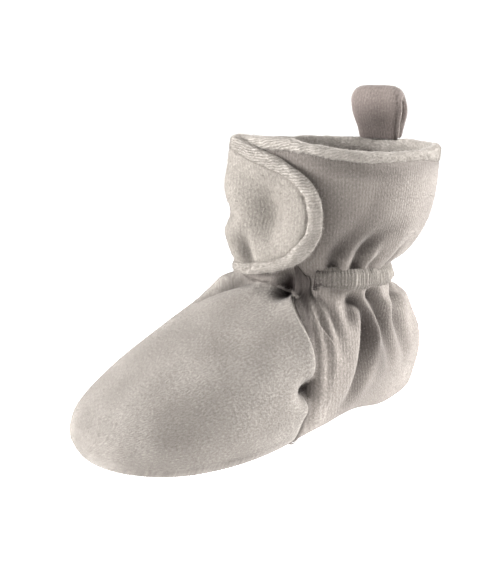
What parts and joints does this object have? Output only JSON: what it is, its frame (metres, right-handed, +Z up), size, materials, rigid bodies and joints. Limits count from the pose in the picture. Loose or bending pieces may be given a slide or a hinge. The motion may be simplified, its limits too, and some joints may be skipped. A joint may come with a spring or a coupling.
{
  "type": "slipper",
  "caption": "Soft toddler's bootie slipper: hollow velour upper gathered at the ankle, rolled collar, wrap-over closing flap, heel pull loop and zigzag rubber grips under a padded sole.",
  "frame": {"origin": "on the floor, under the middle of the slipper's bounding box", "axes": "+Y from toe to heel, +X to the wearer's left, which is the outer side, and +Z up"},
  "size_m": [0.067, 0.1372, 0.1052],
  "materials": {
    "velour": "brushed velour, matte with a soft sheen",
    "sole_velour": "flat velour, matte",
    "fleece": "looped fleece, matte",
    "grip_rubber": "printed rubber, satin"
  },
  "bodies": {
    "root": {"upper": "velour", "sole": "sole_velour", "insole": "fleece", "collar_hem": "velour", "flap": "velour", "flap_hem": "velour", "ankle_casing": "velour", "facing_left": "velour", "facing_right": "velour", "pull_loop": "velour", "grip_1": "grip_rubber", "grip_2": "grip_rubber", "grip_3": "grip_rubber", "grip_4": "grip_rubber"}
  },
  "joints": []
}
